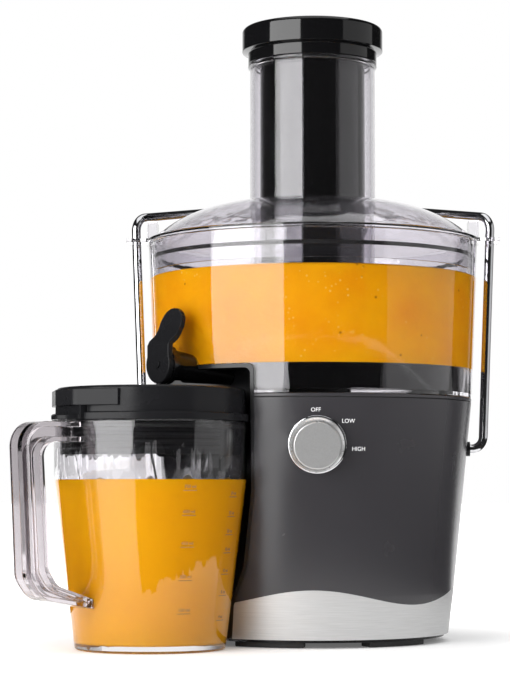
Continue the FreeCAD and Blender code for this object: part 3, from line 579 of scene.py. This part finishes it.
def tick_mesh(length, tall):
    """A short flat line, cut across its length so that it can bend round a wall."""
    shape = bmesh.new()
    bmesh.ops.create_cube(shape, size=1.0)
    bmesh.ops.scale(shape, vec=(length, tall, INK), verts=shape.verts)
    bmesh.ops.subdivide_edges(shape, edges=[edge for edge in shape.edges if abs(
        edge.verts[0].co.x - edge.verts[1].co.x) > length / 2], cuts=6, use_grid_fill=True)
    mesh = bpy.data.meshes.new("tick")
    shape.to_mesh(mesh)
    shape.free()
    return mesh


def mark_jug():
    """Two columns of volume marks on the side of the jug that faces the front."""
    under = 2.2 * MM
    lift = 0.03 * MM
    scales = (
        ("ml", math.radians(298), ((26, "150"), (46, "300"), (66, "450"), (85, "600"),
                                   (100, "750"))),
        ("oz", math.radians(334), ((21, "4"), (36, "8"), (49, "12"), (62, "16"), (73, "20"),
                                   (84, "22"), (96, "24"))))
    for unit, angle, marks in scales:
        for height, amount in marks:
            level = height * MM
            name = f"mark_{unit}_{amount}"
            line = on_wall(JUG, angle, level - under, jug_outside, lift)
            wrapped(f"{name}_line", tick_mesh(9 * MM, 0.35 * MM), line, finish["mark"], "jug")
            words = on_wall(JUG, angle, level, jug_outside, lift)
            wrapped(f"{name}_text", letters(f"{amount} {unit}", 2.0 * MM), words,
                    finish["mark"], "jug")


label_dial()
mark_jug()


# ------------------------------------------------------------------ floor and light
LEFT_LIGHT = 5.2
RIGHT_LIGHT = 0.62
TOP_LIGHT = 1.2
AMBIENT = 0.68
DARK_SEEN_THROUGH = 0.07
DARK_REFLECTED = 0.02
FLOOR_REACH = 14.0
FLOOR_DROP = 0.2 * MM
CARD_REACH = 13.5
CARD_LIFT = 1 * MM


def make_stage():
    """A wide pale floor with a painted glow that grows away from the object, so that it meets the
    background.
    """
    mesh = bpy.data.meshes.new("floor")
    reach = FLOOR_REACH
    mesh.from_pydata([(-reach, -reach, 0), (reach, -reach, 0), (reach, reach, 0),
                      (-reach, reach, 0)], [], [(0, 1, 2, 3)])
    floor = bpy.data.objects.new("floor", mesh)
    floor.location.z = -FLOOR_DROP
    bpy.context.scene.collection.objects.link(floor)
    shader = Shader("pale_floor_painted_glow")
    shader.colour(shader.mix(shader.span(shader.noise(3), 0, 1), (0.88, 0.88, 0.88),
                             (0.92, 0.92, 0.92)))
    shader.rough(shader.span(shader.noise(5), 0.7, 0.8))
    away = shader.put("ShaderNodeVectorMath")
    away.operation = "LENGTH"
    shader.link(shader.place(), away.inputs[0])
    # Painted light: the floor emits white light, weak near the middle and strong beyond about a
    # third of a metre, so much of its brightness is glow rather than lamp light.
    painted_floor_glow = shader.span(away.outputs["Value"], 0.12, 0.9, 0.14, 0.36)
    shader.setup(Emission_Color=(1, 1, 1, 1))
    shader.link(painted_floor_glow, shader.main.inputs["Emission Strength"])
    mesh.materials.append(shader.material)


def make_dark_card(name, near, start, sweep, through):
    """A dark sector of the table that only reflections show, and clear walls too if through."""
    corners = []
    faces = []
    steps = 48
    for step in range(steps + 1):
        angle = math.radians(start - sweep * step / steps)
        for radius in (near, CARD_REACH):
            corners.append((radius * math.cos(angle), radius * math.sin(angle), CARD_LIFT))
        if step:
            first = 2 * step - 2
            faces.append((first, first + 1, first + 3, first + 2))
    mesh = bpy.data.meshes.new(name)
    mesh.from_pydata(corners, [], faces)
    card = bpy.data.objects.new(name, mesh)
    bpy.context.scene.collection.objects.link(card)
    mesh.materials.append(moulded(name, (0.02, 0.02, 0.02), 0.8, Specular_IOR_Level=0.0))
    card.visible_camera = False
    card.visible_diffuse = False
    card.visible_shadow = False
    card.visible_transmission = through


def area_light(name, place, aim, width, height, radiance):
    data = bpy.data.lights.new(name, "AREA")
    data.shape = "RECTANGLE"
    data.size = width
    data.size_y = height
    data.energy = radiance * math.pi * width * height
    light = bpy.data.objects.new(name, data)
    light.location = place
    toward = Vector(aim) - Vector(place)
    light.rotation_euler = toward.to_track_quat("-Z", "Y").to_euler()
    light.visible_camera = False
    bpy.context.scene.collection.objects.link(light)


def make_lights():
    """A tall bright soft box at the left front, a dim one at the right and one overhead."""
    heart = MOTOR + Vector((0, 0, 0.24))
    for name, angle, distance, width, height, radiance in (
            ("left_soft_box", -135.5, 1.3, 1.3, 1.7, LEFT_LIGHT),
            ("right_soft_box", -8, 1.3, 1.6, 1.7, RIGHT_LIGHT)):
        turn = math.radians(angle)
        place = heart + Vector((math.cos(turn), math.sin(turn), 0)) * distance
        area_light(name, place, heart, width, height, radiance)
    area_light("top_soft_box", heart + Vector((0.1, -0.2, 1.6)), heart, 1.8, 1.8, TOP_LIGHT)


def make_world():
    """White behind the object, dark in front of it, and an even dim fill for matt surfaces."""
    world = bpy.data.worlds.new("studio")
    world.use_nodes = True
    nodes, links = world.node_tree.nodes, world.node_tree.links
    path = nodes.new("ShaderNodeLightPath")
    direction = nodes.new("ShaderNodeTexCoord")
    facing = nodes.new("ShaderNodeVectorMath")
    facing.operation = "DOT_PRODUCT"
    facing.inputs[1].default_value = (0, 1, 0)
    links.new(direction.outputs["Generated"], facing.inputs[0])

    def backdrop(dark, start, end):
        node = nodes.new("ShaderNodeMapRange")
        node.interpolation_type = "SMOOTHSTEP"
        for socket, value in (("From Min", start), ("From Max", end), ("To Min", dark),
                              ("To Max", 1.0)):
            node.inputs[socket].default_value = value
        links.new(facing.outputs["Value"], node.inputs["Value"])
        return node.outputs["Result"]

    def choose(test, second, first):
        node = nodes.new("ShaderNodeMix")
        links.new(test, node.inputs[0])
        for socket, value in ((2, first), (3, second)):
            if isinstance(value, float):
                node.inputs[socket].default_value = value
            else:
                links.new(value, node.inputs[socket])
        return node.outputs[0]

    strength = choose(path.outputs["Is Glossy Ray"], backdrop(DARK_REFLECTED, 0.8, 0.985),
                      AMBIENT)
    strength = choose(path.outputs["Is Transmission Ray"], backdrop(DARK_SEEN_THROUGH, 0.55, 0.96),
                      strength)
    strength = choose(path.outputs["Is Camera Ray"], 1.0, strength)
    background = nodes["Background"]
    background.inputs["Color"].default_value = (1, 1, 1, 1)
    links.new(strength, background.inputs["Strength"])
    bpy.context.scene.world = world
    bpy.context.scene.view_settings.view_transform = "Standard"


make_stage()
make_dark_card("right_dark_card", 0.25, 50, 160, False)
make_dark_card("left_dark_card", 0.25, -154, 76, False)
make_dark_card("far_dark_card", 1.5, 50, 280, True)
make_lights()
make_world()
